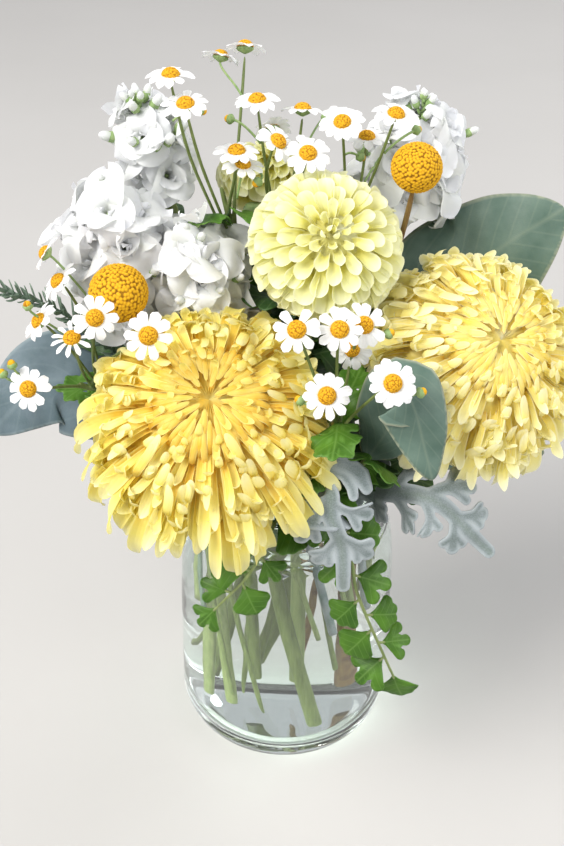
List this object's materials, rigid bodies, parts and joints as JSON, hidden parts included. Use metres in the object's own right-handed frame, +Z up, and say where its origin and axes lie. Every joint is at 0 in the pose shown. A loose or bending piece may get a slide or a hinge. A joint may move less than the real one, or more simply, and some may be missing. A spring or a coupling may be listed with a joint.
{
  "type": "cut flower arrangement in glass jar",
  "caption": "Cut garden flowers in yellow and white with grey and green foliage, standing in water in a clear glass jar with a rounded heel.",
  "frame": {"origin": "centre of the jar's flat underside", "axes": "+Z up along the jar's axis, -Y towards the front of the bouquet, +X to its right"},
  "size_m": [0.2152, 0.1413, 0.2652],
  "materials": {
    "clear_glass": "clear pressed glass, smooth and slightly wavy, faint green in the thick base",
    "clear_water": null,
    "mum_petal": "fresh petals, matte golden yellow with paler tips; paper stands in for thin plant tissue",
    "dahlia_petal": "fresh petals, pale lemon with a green cast in the cups",
    "stock_petal": "fresh crinkled petals, cool white, with green buds and calyces",
    "craspedia_floret": "dense tiny mustard florets, matte",
    "daisy_head": "white ray florets round a golden disc, matte",
    "green_stem": "fresh sap-green stems, satin; wood stands in for plant stem",
    "eucalyptus_leaf": "waxy blue-green leaf with a powdery bloom",
    "felt_leaf": "silver-grey felted leaf with paler edges",
    "fern_leaf": "thin bright green leaflets, satin"
  },
  "bodies": {
    "root": {"craspedia_left_head": "craspedia_floret", "craspedia_left_stem": "green_stem", "craspedia_right_head": "craspedia_floret", "craspedia_right_stem": "green_stem", "dahlia_back_head": "dahlia_petal", "dahlia_back_stem": "green_stem", "dahlia_front_head": "dahlia_petal", "dahlia_front_stem": "green_stem", "daisy_01": "daisy_head", "daisy_02": "daisy_head", "daisy_03": "daisy_head", "daisy_04": "daisy_head", "daisy_05": "daisy_head", "daisy_06": "daisy_head", "daisy_07": "daisy_head", "daisy_08": "daisy_head", "daisy_09": "daisy_head", "daisy_10": "daisy_head", "daisy_11": "daisy_head", "daisy_12": "daisy_head", "daisy_13": "daisy_head", "daisy_14": "daisy_head", "daisy_15": "daisy_head", "daisy_16": "daisy_head", "daisy_17": "daisy_head", "daisy_18": "daisy_head", "daisy_19": "daisy_head", "daisy_20": "daisy_head", "daisy_21": "daisy_head", "daisy_22": "daisy_head", "dusty_miller_back_leaf": "felt_leaf", "dusty_miller_centre_leaf": "felt_leaf", "dusty_miller_right_leaf": "felt_leaf", "eucalyptus_centre_leaf": "eucalyptus_leaf", "eucalyptus_left_leaf": "eucalyptus_leaf", "eucalyptus_low_leaf": "eucalyptus_leaf", "eucalyptus_right_leaf": "eucalyptus_leaf", "feverfew_front_stem": "green_stem", "feverfew_left_stem": "green_stem", "feverfew_middle_stem": "green_stem", "feverfew_right_stem": "green_stem", "feverfew_top_stem": "green_stem", "grey_sprig": "felt_leaf", "jar": "clear_glass", "maidenhair_left_frond": "fern_leaf", "maidenhair_right_frond": "fern_leaf", "mum_left_head": "mum_petal", "mum_left_stem": "green_stem", "mum_right_head": "mum_petal", "mum_right_stem": "green_stem", "stock_centre_spike": "stock_petal", "stock_centre_stem": "green_stem", "stock_left_spike": "stock_petal", "stock_left_stem": "green_stem", "stock_right_spike": "stock_petal", "stock_right_stem": "green_stem", "stock_tall_spike": "stock_petal", "stock_tall_stem": "green_stem", "water": "clear_water"}
  },
  "joints": []
}
